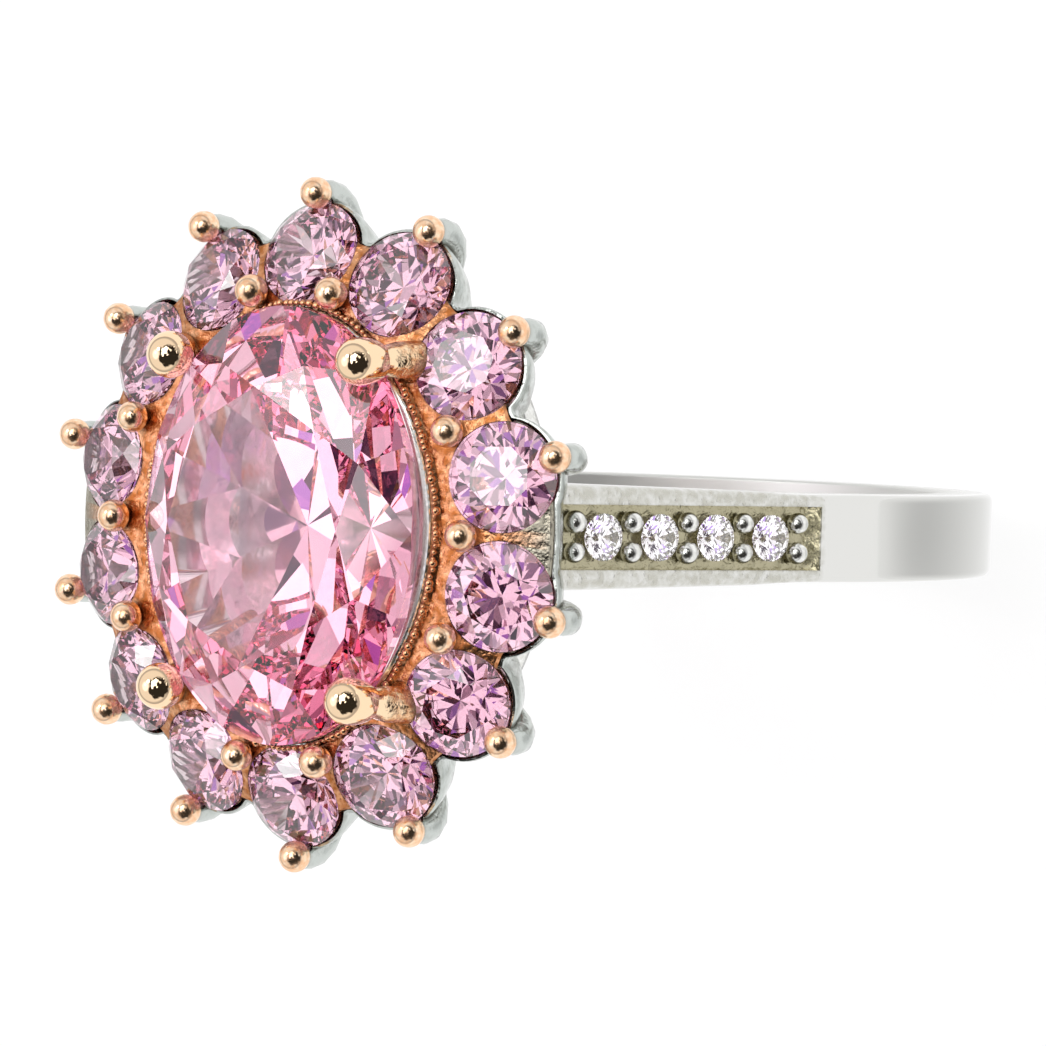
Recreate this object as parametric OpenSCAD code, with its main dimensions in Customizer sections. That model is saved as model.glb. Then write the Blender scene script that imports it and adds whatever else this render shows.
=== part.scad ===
// Two-tone cocktail ring: an oval centre stone in a claw setting, a halo of fourteen
// round stones, and shoulders with a channel of small clear stones.
// The origin is the centre of the finger bore. +Y is the bore axis, +Z points to the head.

/* [Finger ring] */
// inside diameter of the band
bore_d = 18.54; // [14:0.01:22]
// radial thickness of the band
band_t = 1.56; // [1:0.01:2.5]
// width of the band where the shoulders begin
band_w = 2.46; // [1.8:0.01:4]
// width of the band opposite the head
band_base_w = 2.33; // [1.6:0.01:4]
// rounding of the band's outer edges
band_edge = 0.22; // [0.05:0.01:0.5]

/* [Shoulders] */
// angle above the X axis where the outer line leaves the band as a tangent
shoulder_a = 16.8; // [5:0.1:40]
// width of the shoulders where they meet the head
shoulder_tip_w = 2.94; // [2:0.01:4]
// height of the shoulder tops
shoulder_top = 13.9; // [12:0.05:16]
// half width of the stone channel
channel_half_w = 0.89; // [0.5:0.01:1.2]
// depth of the stone channel
channel_d = 0.38; // [0.1:0.01:0.8]
// spacing of the accent stones along the channel
accent_pitch = 1.98; // [1.2:0.01:2.5]
// where the last pair of beads sits, measured up the outer line
accent_first = 2.38; // [1:0.01:6]
// diameter of an accent stone
accent_d = 1.3; // [0.8:0.05:1.6]
// diameter of a channel bead
channel_bead_d = 0.62; // [0.3:0.01:0.8]
// half the distance between the two beads of a pair
channel_bead_y = 0.41; // [0.3:0.01:0.7]

/* [Centre stone] */
// height of the centre stone's girdle above the bore centre
girdle_z = 16.6; // [13:0.05:20]
// width of the centre stone across the finger
centre_w = 9.2; // [6:0.1:12]
// length of the centre stone along the finger axis
centre_l = 12; // [8:0.1:16]
// thickness of the girdle
centre_girdle = 0.4; // [0.05:0.01:0.6]
// height of the table above the middle of the girdle
centre_crown = 1.33; // [0.8:0.01:2]
// depth of the pavilion below the girdle
centre_pavilion = 4.2; // [3:0.05:6]
// table size as a share of the girdle size
centre_table = 0.63; // [0.5:0.01:0.7]

/* [Halo] */
// number of halo stones
halo_n = 14; // [10:1:18]
// diameter of a halo stone
halo_d = 2.99; // [2:0.01:3.5]
// half axis of the line of halo stones across the finger
halo_a = 6.9; // [5:0.05:9]
// half axis of the line of halo stones along the finger axis
halo_b = 7.46; // [6:0.05:10]
// drop of the halo stones below the centre girdle
halo_drop = 0.96; // [0:0.01:2]
// outward tilt of the halo stones in degrees
halo_tilt = 21.8; // [0:0.1:45]
// least reach of the halo where it joins the shoulders
halo_web = 1.3; // [0.5:0.05:1.5]
// diameter of the balls on the halo claws
halo_ball_d = 0.88; // [0.4:0.01:1.2]
// diameter of the inner beads
inner_bead_d = 0.9; // [0.4:0.01:1.2]

/* [Main claws] */
// diameter of the polished claw tips
claw_tip_d = 1.3; // [0.6:0.05:1.6]
// height of the claw tips above the centre girdle
claw_tip_z = 1.0; // [0.4:0.01:1.6]
// how far the claw tips stand outside the girdle
claw_tip_out = 0.2; // [0:0.01:1]

/* [Hidden] */
$fn = 64;
bore_r = bore_d / 2;
band_r = bore_r + band_t;
halo_r = halo_d / 2;
halo_z = girdle_z - halo_drop;
halo_girdle = 0.12;
halo_pavilion = 1.3;
round_table = 0.56;
arc_steps = 360;
stations_per_stone = 8;
rail_top = 13.95;
rail_bottom = 13.25;
seat_top = girdle_z - 0.3;
seat_bottom = seat_top - 0.8;
// half axes of the seat's outer wall, which is also the inner wall of the halo tray
seat_a = centre_w / 2 + 0.25;
seat_b = centre_l / 2 + 0.03;
cup_top = 11.6;
shoulder_dir = [-sin(shoulder_a), 0, cos(shoulder_a)];
shoulder_foot = [band_r * cos(shoulder_a), 0, band_r * sin(shoulder_a)];
shoulder_len = (shoulder_top - shoulder_foot[2]) / cos(shoulder_a);
accent_n = 4;
claw_gaps = [2, 6, 9, 13];
bead_gaps = [1, 3, 4, 5, 7, 8, 10, 11, 12, 14];
WHITE = [0.86, 0.87, 0.88];
ROSE = [0.85, 0.57, 0.42];
PINK = [0.93, 0.55, 0.68, 0.8];
MAUVE = [0.80, 0.58, 0.72, 0.8];
CLEAR = [0.92, 0.93, 0.95, 0.7];

// ---- the oval that the halo follows, measured by arc length ----

function oval(a, b, t) = [a * cos(t), b * sin(t)];

function arc_table(a, b) = [
    for (k = 0, s = 0; k <= arc_steps; s = s + norm(oval(a, b, k + 1) - oval(a, b, k)), k = k + 1)
        [s, k]
];

halo_arc = arc_table(halo_a, halo_b);
seat_arc = arc_table(centre_w / 2, centre_l / 2);

function angle_at(table, share) =
    lookup((share - floor(share)) * table[arc_steps][0], table);

function outward(a, b, t) = oval(b, a, t) / norm(oval(b, a, t));

// share of the way round at which halo stone i sits, stone 1 being on +Y
function stone_share(i) = 0.25 - (i - 1) / halo_n;

// a point beside the halo line: out along the tilt, and up square to it
function halo_point(share, out, up) =
    let (t = angle_at(halo_arc, share))
    let (plan = oval(halo_a, halo_b, t)
        + outward(halo_a, halo_b, t) * (out * cos(halo_tilt) + up * sin(halo_tilt)))
    [plan[0], plan[1], halo_z - out * sin(halo_tilt) + up * cos(halo_tilt)];

// a point on an upright oval wall, in line with the halo line's own direction
function wall_point(share, a, b, z) =
    let (t = angle_at(halo_arc, share))
    let (line = oval(halo_a, halo_b, t))
    let (scale_to = 1 / norm([line[0] / a, line[1] / b]))
    [line[0] * scale_to, line[1] * scale_to, z];

// reach of a round scallop of radius r, never less than low, at share of the halo,
// and never less than web in the two gaps over the shoulders
function scallop(share, r, low, web) =
    let (turn = (share - 0.25) * halo_n)
    let (across = abs(turn - round(turn)) * (halo_d + 0.23))
    let (least = abs(share * 2 - round(share * 2)) < 1 / halo_n ? web : low)
    sqrt(max(r * r - across * across, least * least));

// ---- general shapes ----

// a closed loop through a list of like sections, each a list of points
module loop_sweep(sections) {
    n = len(sections);
    m = len(sections[0]);
    polyhedron(
        points = [for (section = sections) for (p = section) p],
        faces = [
            for (i = [0:n - 1])
                let (next = (i + 1) % n)
                for (j = [0:m - 1])
                    let (up = (j + 1) % m)
                    for (half = [
                        [i * m + j, i * m + up, next * m + up],
                        [i * m + j, next * m + up, next * m + j]
                    ])
                        half
        ],
        convexity = 8);
}

function unit(v) = v / norm(v);

function xyz(s) = [s[0], s[1], s[2]];

// a solid that follows stations [x, y, z, radius], flat at both ends
module tube(stations, sides) {
    m = len(stations);
    run = xyz(stations[m - 1]) - xyz(stations[0]);
    flat_side = unit([-run[1], run[0], 0]);
    rings = [
        for (k = [0:m - 1])
            let (d = unit(xyz(stations[min(k + 1, m - 1)]) - xyz(stations[max(k - 1, 0)])))
            let (e1 = unit(flat_side - d * (d * flat_side)))
            let (e2 = cross(d, e1))
            for (j = [0:sides - 1])
                let (turn = 360 * j / sides)
                xyz(stations[k]) + (e1 * cos(turn) + e2 * sin(turn)) * stations[k][3]
    ];
    polyhedron(
        points = rings,
        faces = concat(
            [[for (j = [0:sides - 1]) j]],
            [[for (j = [sides - 1:-1:0]) (m - 1) * sides + j]],
            [
                for (k = [0:m - 2])
                    for (j = [0:sides - 1])
                        let (next = (j + 1) % sides)
                        for (half = [
                            [k * sides + j, (k + 1) * sides + j, (k + 1) * sides + next],
                            [k * sides + j, (k + 1) * sides + next, k * sides + next]
                        ])
                            half
            ]),
        convexity = 4);
}

// stations of a round ball that closes a tube running from start to tip
function ball_stations(start, tip, r) = [
    for (a = [40:22:172]) concat(tip - unit(tip - start) * r * cos(a), r * sin(a))
];

module ball(p, r) {
    translate(p)
        sphere(r = r, $fn = 32);
}

// a round brilliant, girdle plane at z = 0
module brilliant(r, girdle, pavilion) {
    crown = r * 0.3;
    rotate_extrude($fn = 48)
        polygon([
            [0, -girdle / 2 - pavilion], [r, -girdle / 2], [r, girdle / 2],
            [r * round_table, girdle / 2 + crown], [0, girdle / 2 + crown]
        ]);
}

module at_halo(share) {
    t = angle_at(halo_arc, share);
    n = outward(halo_a, halo_b, t);
    translate(halo_point(share, 0, 0))
        rotate([0, halo_tilt, atan2(n[1], n[0])])
            children();
}

// places children on the shoulder's outer line, side 1 for +X and -1 for -X
module on_shoulder(side, s) {
    mirror([side < 0 ? 1 : 0, 0, 0])
        translate(shoulder_foot + shoulder_dir * s)
            rotate([0, 90 - shoulder_a, 0])
                children();
}

module oval_outline(a, b) {
    polygon([for (k = [0:5:355]) oval(a, b, k)]);
}

// ---- metal ----

module band() {
    half = band_w / 2;
    e = band_edge;
    rotate([90, 0, 0])
        rotate_extrude($fn = 128)
            polygon(concat(
                [[bore_r, half - 0.08], [bore_r, -half + 0.08], [bore_r + 0.08, -half]],
                [for (k = [0:30:90]) [band_r - e + e * sin(k), -half + e - e * cos(k)]],
                [for (k = [0:30:90]) [band_r - e + e * cos(k), half - e + e * sin(k)]],
                [[bore_r + 0.08, half]]));
}

// upright slab that narrows the band towards its base and widens the shoulders upwards
module band_taper() {
    top = band_w / 2 + 0.01;
    tip = shoulder_tip_w / 2;
    base = band_base_w / 2;
    low = -band_r - 0.1;
    turn = shoulder_foot[2];
    rotate([90, 0, 90])
        linear_extrude(height = 3 * band_r, center = true)
            polygon([
                [-base, low], [base, low], [top, turn], [tip, shoulder_top + 0.01],
                [-tip, shoulder_top + 0.01], [-top, turn]
            ]);
}

module shoulder(side) {
    tip = shoulder_foot + shoulder_dir * shoulder_len;
    mirror([side < 0 ? 1 : 0, 0, 0])
        difference() {
            rotate([90, 0, 0])
                linear_extrude(height = shoulder_tip_w + 0.1, center = true)
                    polygon([
                        [shoulder_foot[0], shoulder_foot[2]], [tip[0], tip[2]],
                        [tip[0] - 0.35, tip[2]], [tip[0] - 0.35, rail_bottom],
                        [tip[0] - 1.1, rail_bottom], [tip[0] + 0.75, 7.4], [bore_r - 0.8, 3]
                    ]);
            rotate([90, 0, 0])
                cylinder(h = shoulder_tip_w + 1, r = bore_r, center = true, $fn = 128);
        }
}

// stone channel with a sloping lower end and a seat under each accent stone
module shoulder_channel(side) {
    s0 = accent_first - 0.76;
    s1 = accent_first + accent_n * accent_pitch + 0.65;
    on_shoulder(side, 0)
        rotate([90, 0, 0])
            linear_extrude(height = 2 * channel_half_w, center = true)
                polygon([[-s1, -channel_d], [-s0 - 0.3, -channel_d], [-s0, 0], [-s0, 1], [-s1, 1]]);
    for (k = [1:accent_n])
        on_shoulder(side, accent_first + (k - 0.5) * accent_pitch)
            translate([0, 0, -0.76])
                cylinder(h = 0.56, r1 = 0.12, r2 = 0.6);
}

module shank() {
    color(WHITE)
        intersection() {
            difference() {
                union() {
                    band();
                    shoulder(1);
                    shoulder(-1);
                }
                shoulder_channel(1);
                shoulder_channel(-1);
            }
            band_taper();
        }
}

// open cone that carries the main claws, seated on top of the band
module basket_cup() {
    low = band_r - 0.25;
    color(WHITE)
        difference() {
            translate([0, 0, low])
                cylinder(h = cup_top - low, r1 = 1.45, r2 = 2.45);
            translate([0, 0, low - 0.01])
                cylinder(h = cup_top - low + 0.02, r1 = 0.85, r2 = 1.85);
            rotate([90, 0, 0])
                cylinder(h = 8, r = band_r, center = true, $fn = 128);
        }
}

module gallery_rail() {
    color(WHITE)
        translate([0, 0, rail_bottom])
            linear_extrude(height = rail_top - rail_bottom)
                difference() {
                    oval_outline(halo_a - 0.05, halo_b - 0.05);
                    oval_outline(halo_a - 0.8, halo_b - 0.8);
                }
}

// scalloped cups behind the halo stones, closed into one wall
module halo_wall() {
    n = halo_n * stations_per_stone;
    rim = -0.06;
    waist = -0.6;
    foot = -1.7;
    color(WHITE)
        loop_sweep([
            for (k = [0:n - 1])
                let (share = k / n + 0.25)
                let (reach = scallop(share, halo_r + 0.12, 0.62, halo_web + 0.1))
                let (low_reach = 0.75 * reach)
                [
                    halo_point(share, low_reach, foot),
                    halo_point(share, reach, waist),
                    halo_point(share, reach, rim),
                    halo_point(share, reach - 0.16, rim),
                    halo_point(share, reach - 0.32, waist),
                    halo_point(share, low_reach - 0.4, foot)
                ]
        ]);
}

module halo_tray() {
    n = halo_n * stations_per_stone;
    color(ROSE)
        difference() {
            loop_sweep([
                for (k = [0:n - 1])
                    let (share = k / n + 0.25)
                    let (reach = scallop(share, halo_r - 0.05, 0.45, halo_web))
                    [
                        wall_point(share, seat_a, seat_b, halo_z - 0.05),
                        halo_point(share, reach, -0.4),
                        halo_point(share, reach, 0.06),
                        halo_point(share, -1, 0.12),
                        wall_point(share, seat_a, seat_b, halo_z + 0.62)
                    ]
            ]);
            for (i = [1:halo_n])
                at_halo(stone_share(i))
                    rotate_extrude($fn = 48)
                        polygon([[0, -1.2], [1.28, -1.2], [1.28, -0.21], [1.51, -0.21], [1.51, 1.2], [0, 1.2]]);
        }
}

// polished rail that the centre stone rests in
module centre_seat() {
    color(WHITE)
        translate([0, 0, seat_bottom])
            linear_extrude(height = seat_top - seat_bottom)
                difference() {
                    oval_outline(seat_a, seat_b);
                    oval_outline(centre_w / 2 - 0.2, centre_l / 2 - 0.3);
                }
}

module main_claws() {
    color(ROSE)
        for (gap = claw_gaps) {
            share = stone_share(gap + 0.5);
            t = angle_at(seat_arc, share);
            n = outward(centre_w / 2, centre_l / 2, t);
            plan = oval(centre_w / 2, centre_l / 2, t) + n * claw_tip_out;
            tip = [plan[0], plan[1], girdle_z + claw_tip_z];
            knee = tip + [sign(tip[0]) * 0.78, sign(tip[1]) * 0.1, -1.4];
            lean = unit([knee[0], knee[1]]);
            foot = [lean[0] * 2.1, lean[1] * 2.1, cup_top - 0.3];
            tube(
                concat(
                    [concat(foot, 0.36), concat(foot + (knee - foot) * 0.9, 0.5)],
                    [concat(knee, 0.53), concat(knee + (tip - knee) * 0.3, 0.5)],
                    ball_stations(knee, tip, claw_tip_d / 2)),
                16);
        }
}

// one claw per halo stone: a ball tip and a stem that runs down the wall
module halo_claws() {
    color(ROSE)
        for (i = [1:halo_n]) {
            // the claws beside the shoulders are set a little away from them
            aside = (i == 4 || i == 11) ? 0.005 : (i == 5 || i == 12) ? -0.005 : 0;
            share = stone_share(i) + aside;
            tip = halo_point(share, 1.6, 0.48);
            elbow = halo_point(share, 1.86, -0.4);
            tube(
                concat(
                    [concat(halo_point(share, 1.15, -1.75), 0.3)],
                    [concat(halo_point(share, 1.55, -1.3), 0.36)],
                    [concat(halo_point(share, 1.78, -0.85), 0.4)],
                    [concat(elbow, 0.41), concat(halo_point(share, 1.82, -0.05), 0.38)],
                    ball_stations(elbow, tip, halo_ball_d / 2)),
                12);
        }
}

module inner_beads() {
    color(ROSE)
        for (gap = bead_gaps)
            ball(halo_point(stone_share(gap + 0.5), -1.15, 0.44), inner_bead_d / 2);
}

module channel_beads(side) {
    color(WHITE)
        for (k = [0:accent_n])
            for (row = [-1, 1])
                on_shoulder(side, accent_first + k * accent_pitch)
                    translate([0, row * channel_bead_y, -0.14])
                        sphere(r = channel_bead_d / 2, $fn = 24);
}

// ---- stones ----

// oval brilliant from level rings of facets down to a point
module centre_stone() {
    g = centre_girdle / 2;
    levels = [
        [centre_table, centre_crown], [0.86, g + (centre_crown - g) * 0.52], [1, g], [1, -g],
        [0.52, -g - centre_pavilion * 0.55]
    ];
    n = 32;
    m = len(levels);
    color(PINK)
        polyhedron(
            points = concat(
                [for (level = levels) for (k = [0:n - 1])
                    concat(oval(centre_w / 2 * level[0], centre_l / 2 * level[0], k * 360 / n),
                        girdle_z + level[1])],
                [[0, 0, girdle_z - g - centre_pavilion]]),
            faces = concat(
                [[for (k = [n - 1:-1:0]) k]],
                [for (j = [0:m - 2]) for (k = [0:n - 1])
                    let (next = (k + 1) % n)
                    [j * n + k, j * n + next, (j + 1) * n + next, (j + 1) * n + k]],
                [for (k = [0:n - 1]) [(m - 1) * n + k, (m - 1) * n + (k + 1) % n, m * n]]));
}

module halo_stone(i) {
    color(MAUVE)
        at_halo(stone_share(i))
            brilliant(halo_r - 0.01, halo_girdle, halo_pavilion);
}

// accent stone k of one shoulder, counted up from the band
module accent(side, k) {
    color(CLEAR)
        on_shoulder(side, accent_first + (k - 0.5) * accent_pitch)
            translate([0, 0, -0.12])
                brilliant(accent_d / 2, 0.06, 0.55);
}

shank();
basket_cup();
gallery_rail();
halo_wall();
halo_tray();
centre_seat();
main_claws();
halo_claws();
inner_beads();
channel_beads(1);  // channel_beads_right
channel_beads(-1);  // channel_beads_left
centre_stone();
halo_stone(1);  // halo_stone_01
halo_stone(2);  // halo_stone_02
halo_stone(3);  // halo_stone_03
halo_stone(4);  // halo_stone_04
halo_stone(5);  // halo_stone_05
halo_stone(6);  // halo_stone_06
halo_stone(7);  // halo_stone_07
halo_stone(8);  // halo_stone_08
halo_stone(9);  // halo_stone_09
halo_stone(10);  // halo_stone_10
halo_stone(11);  // halo_stone_11
halo_stone(12);  // halo_stone_12
halo_stone(13);  // halo_stone_13
halo_stone(14);  // halo_stone_14
accent(1, 1);  // accent_right_1
accent(1, 2);  // accent_right_2
accent(1, 3);  // accent_right_3
accent(1, 4);  // accent_right_4
accent(-1, 1);  // accent_left_1
accent(-1, 2);  // accent_left_2
accent(-1, 3);  // accent_left_3
accent(-1, 4);  // accent_left_4
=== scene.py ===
"""Two-tone cocktail ring: shank, halo head, claws and stones, with studio light and camera."""

import logging
import math
from dataclasses import dataclass, field
from enum import Enum

import bmesh
import bpy
import numpy as np
from mathutils import Matrix, Vector
from mathutils.geometry import tessellate_polygon


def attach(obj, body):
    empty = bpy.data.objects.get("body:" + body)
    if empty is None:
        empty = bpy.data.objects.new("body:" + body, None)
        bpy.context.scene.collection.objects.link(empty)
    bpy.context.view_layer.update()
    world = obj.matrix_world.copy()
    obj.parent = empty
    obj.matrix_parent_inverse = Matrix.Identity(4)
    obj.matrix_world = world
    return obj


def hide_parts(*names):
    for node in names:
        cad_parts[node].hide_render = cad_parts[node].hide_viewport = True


log = logging.getLogger("ring")

MM = 0.001
UP = np.array([0.0, 0.0, 1.0])

Point = tuple[float, float, float]
Face = tuple[int, ...]


class Side(Enum):
    """The two shoulders of the shank."""

    RIGHT = 1
    LEFT = -1


class Slot(Enum):
    """Material slots of the part's record."""

    WHITE = "white_plate"
    ROSE = "rose_plate"
    PINK = "pink_stone"
    MAUVE = "mauve_stone"
    CLEAR = "clear_stone"


# ---------------------------------------------------------------- colour and nodes


def linear(hex_code: str) -> tuple[float, float, float, float]:
    """Turn an sRGB hex colour into linear RGBA.

    Args:
        hex_code: six hex digits, with or without a leading hash.

    Returns:
        Linear red, green, blue and an alpha of 1.
    """
    digits = hex_code.lstrip("#")
    channels = []
    for start in (0, 2, 4):
        value = int(digits[start : start + 2], 16) / 255
        channels.append(value / 12.92 if value <= 0.04045 else ((value + 0.055) / 1.055) ** 2.4)
    return (channels[0], channels[1], channels[2], 1.0)


def add_node(
    tree: bpy.types.NodeTree, kind: str, inputs: dict | None = None, **settings: object
) -> bpy.types.Node:
    """Add a node with its settings, values and links.

    Args:
        tree: the node tree to add to.
        kind: the node's Blender type name.
        inputs: socket name or index to a value, an output socket to link, or a node whose
            first output is linked.
        settings: attributes of the node itself.

    Returns:
        The new node.
    """
    node = tree.nodes.new(kind)
    for name, value in settings.items():
        setattr(node, name, value)
    for key, value in (inputs or {}).items():
        if isinstance(value, bpy.types.Node):
            value = value.outputs[0]
        if isinstance(value, bpy.types.NodeSocket):
            tree.links.new(value, node.inputs[key])
        else:
            node.inputs[key].default_value = value
    return node


def new_material(name: str) -> tuple[bpy.types.Material, bpy.types.NodeTree]:
    """Make an empty node material.

    Args:
        name: the material's name.

    Returns:
        The material and its cleared node tree.
    """
    material = bpy.data.materials.new(name)
    material.use_nodes = True
    material.node_tree.nodes.clear()
    return material, material.node_tree


@dataclass(frozen=True)
class CastPlate:
    """Plated cast silver: polished where the wheel reaches, grainy in the corners it misses.

    Attributes:
        name: name of the material.
        bright: colour of the polished plate.
        deep: colour of the thinner plate in rough or sunk places.
        roughness: roughness of the polished plate.
        grain_mm: size of the casting grain.
        grain: depth of the casting grain, 0 for none.
        wave: depth of the long polishing waves.
        mask: name of an attribute that says how rough the casting is, or "".
        channel_shade: colour of the painted shade on the floor of a channel, where an attribute called sunk
            is 1.
        bare: colour of the white plate under it, where an attribute called bare is 1.
        corner_shade: colour of the painted shade in the corners of the rough castings and of the painted dark
            lines along their edges.
        wave_mm: length of the polishing waves.
        tumbled: roughness added where an attribute called satin is 1.
    """

    name: str
    bright: str
    deep: str
    roughness: float = 0.1
    grain_mm: float = 0.16
    grain: float = 0.0
    wave: float = 0.1
    mask: str = ""
    channel_shade: str = "ADA78C"
    bare: str = "A59F90"
    corner_shade: str = "6E665A"
    wave_mm: float = 1.6
    tumbled: float = 0.38

    def build(self) -> bpy.types.Material:
        """Build the material.

        Returns:
            The plate's material.
        """
        material, tree = new_material(self.name)
        place = add_node(tree, "ShaderNodeTexCoord").outputs["Object"]
        grain_scale = 1 / (self.grain_mm * MM)
        grain = add_node(
            tree, "ShaderNodeTexNoise", {"Vector": place, "Scale": grain_scale, "Detail": 3.0}
        )
        wave_scale = 1 / (self.wave_mm * MM)
        wave = add_node(tree, "ShaderNodeTexNoise", {"Vector": place, "Scale": wave_scale, "Detail": 1.0})
        rough_part = grain.outputs["Fac"]
        strength: object = self.grain
        if self.mask:
            amount = add_node(tree, "ShaderNodeAttribute", attribute_name=self.mask).outputs["Fac"]
            rough_part, strength = (
                add_node(tree, "ShaderNodeMath", {0: amount, 1: part}, operation="MULTIPLY")
                for part in (rough_part, self.grain)
            )
        tint = add_node(
            tree, "ShaderNodeMapRange", {"Value": rough_part, "From Min": 0.25, "From Max": 0.62}
        )
        layers = [(tint, self.deep)]
        if self.mask:
            # painted shade: ambient occlusion darkens the corners, and paints dark lines along the convex
            # edges where the grain is strong
            shade_masks = []
            for reach, inside, low, high, most in (
                (0.22, False, 0.35, 0.8, 0.75),
                (0.1, True, 0.3, 0.75, 1.0),
            ):
                near = add_node(
                    tree, "ShaderNodeAmbientOcclusion", {"Distance": reach * MM}, samples=4, inside=inside
                ).outputs["AO"]
                limits = {"From Min": low, "From Max": high, "To Min": most, "To Max": 0.0}
                shade_masks.append(add_node(tree, "ShaderNodeMapRange", {"Value": near, **limits}))
            painted_shade = add_node(tree, "ShaderNodeMath", {0: shade_masks[1], 1: rough_part}, operation="MULTIPLY")
            painted_shade = add_node(tree, "ShaderNodeMath", {0: shade_masks[0], 1: painted_shade}, operation="MAXIMUM")
            layers.append((painted_shade, self.corner_shade))
        # painted shade on the floor of a channel, then the white plate where the rose plate stops
        for mark, tone in (("sunk", self.channel_shade), ("bare", self.bare)):
            layers.append((add_node(tree, "ShaderNodeAttribute", attribute_name=mark).outputs["Fac"], tone))
        colour: object = linear(self.bright)
        for amount, tone in layers:
            colour = add_node(
                tree, "ShaderNodeMix", {"Factor": amount, "A": colour, "B": linear(tone)}, data_type="RGBA"
            ).outputs["Result"]
        limits = {"From Min": 0.2, "From Max": 0.6, "To Min": self.roughness, "To Max": self.roughness + 0.2}
        rough = add_node(tree, "ShaderNodeMapRange", {"Value": rough_part, **limits})
        satin = add_node(tree, "ShaderNodeAttribute", attribute_name="satin").outputs["Fac"]
        rough = add_node(
            tree, "ShaderNodeMath", {0: satin, 1: self.tumbled, 2: rough}, operation="MULTIPLY_ADD"
        )
        bump: object = None
        for height, depth, reach in ((wave, self.wave, 0.05), (grain, strength, 0.1)):
            relief = {"Height": height.outputs["Fac"], "Strength": depth, "Distance": reach * MM}
            if bump:
                relief["Normal"] = bump
            bump = add_node(tree, "ShaderNodeBump", relief)
        shader = add_node(
            tree,
            "ShaderNodeBsdfPrincipled",
            {"Base Color": colour, "Metallic": 1.0, "Roughness": rough, "Normal": bump},
        )
        add_node(tree, "ShaderNodeOutputMaterial", {"Surface": shader})
        return material


@dataclass(frozen=True)
class CutZirconia:
    """Cut and polished cubic zirconia: very clear, with hard glints from flat facets.

    Attributes:
        name: name of the material.
        surface: tint of each pass through the surface.
        body: colour that the body lets through.
        density: absorption of the body per metre.
        polish: roughness left by the last polish.
        ior: refractive index.
    """

    name: str
    surface: str
    body: str
    density: float
    polish: float = 0.0
    ior: float = 2.17

    def build(self) -> bpy.types.Material:
        """Build the material.

        Returns:
            The stone's material.
        """
        material, tree = new_material(self.name)
        place = add_node(tree, "ShaderNodeTexCoord").outputs["Object"]
        # polishing lines a few hundredths of a millimetre wide, too faint to see one by one
        per_metre = 1 / (0.5 * MM)
        lines = add_node(tree, "ShaderNodeTexNoise", {"Vector": place, "Scale": per_metre, "Detail": 2.0})
        tint = add_node(
            tree,
            "ShaderNodeMix",
            {"Factor": lines.outputs["Fac"], "A": linear(self.surface), "B": linear("FFFFFF")},
            data_type="RGBA",
        )
        shader = add_node(
            tree,
            "ShaderNodeBsdfPrincipled",
            {
                "Base Color": tint.outputs["Result"],
                "Roughness": self.polish,
                "IOR": self.ior,
                "Transmission Weight": 1.0,
            },
        )
        body = add_node(
            tree, "ShaderNodeVolumeAbsorption", {"Color": linear(self.body), "Density": self.density}
        )
        add_node(tree, "ShaderNodeOutputMaterial", {"Surface": shader.outputs[0], "Volume": body.outputs[0]})
        return material


class Finishes:
    """Every finish on the ring, built once."""

    def __init__(self) -> None:
        """Build all the materials."""
        # Rhodium plate over cast silver: cold bright white, a mirror where polished.
        self.rhodium = CastPlate("Rhodium plate, polished", "F0F0EE", "DDDDD8", 0.06, wave=0.12).build()
        # The same plate on the shoulders and cups, grainy where the wheel can't reach.
        self.rhodium_cast = CastPlate(
            "Rhodium plate, as cast", "DADAD7", "C2C1B8", 0.08, 0.26, grain=0.6, wave=0.12, mask="rough"
        ).build()
        # The same plate on the cups, which the polishing wheel hardly reaches, painted darker and greener as
        # painted shade.
        self.rhodium_cup_shaded = CastPlate(
            "Rhodium plate, cups", "C3C8C4", "979A92", 0.12, 0.3, grain=0.5, wave=0.4, mask="rough"
        ).build()
        # Rose-gold plate, burnished on the beads and claw tips: warm pink mirror.
        self.rose = CastPlate("Rose gold plate, burnished", "FBE2C6", "F2C29A", 0.06, wave=0.5).build()
        # The same plate on the main claws, left rough below their tips.
        self.rose_claw = CastPlate(
            "Rose gold plate, claws", "F8D9B4", "D8935C", 0.06, 0.2, grain=1.0, wave=0.5, mask="rough"
        ).build()
        # Rose-gold plate on the tray, deeper in colour and grainy from the mould.
        self.rose_cast = CastPlate(
            "Rose gold plate, as cast", "EAB086", "B06A38", 0.1, 0.24, grain=0.6, wave=0.3, mask="rough"
        ).build()
        # Pink zirconia: clear baby pink that deepens where light crosses the whole stone.
        self.pink = CutZirconia("Cubic zirconia, pink", "FFDDEA", "F590BC", 56.0, ior=1.88).build()
        # Mauve-pink zirconia of the halo: cooler and a little greyer.
        self.mauve = CutZirconia("Cubic zirconia, mauve pink", "FFF4FA", "D27EA6", 270.0).build()
        # Clear zirconia of the shoulders.
        self.clear = CutZirconia("Cubic zirconia, clear", "FFFFFF", "F4F4FF", 20.0).build()


# ---------------------------------------------------------------- meshes


def finished(name: str, mesh: bpy.types.Mesh, material: bpy.types.Material, smooth: bool) -> bpy.types.Object:
    """Make an object at the origin from a mesh already in place.

    Args:
        name: the piece's name.
        mesh: its mesh, in metres in the ring's own frame.
        material: its finish.
        smooth: True for rounded metal, False for cut facets.

    Returns:
        The object, linked to the scene.
    """
    mesh.materials.clear()
    mesh.materials.append(material)
    mesh.polygons.foreach_set("use_smooth", [smooth] * len(mesh.polygons))
    mesh.update()
    piece = bpy.data.objects.new(name, mesh)
    bpy.context.scene.collection.objects.link(piece)
    return piece


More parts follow.
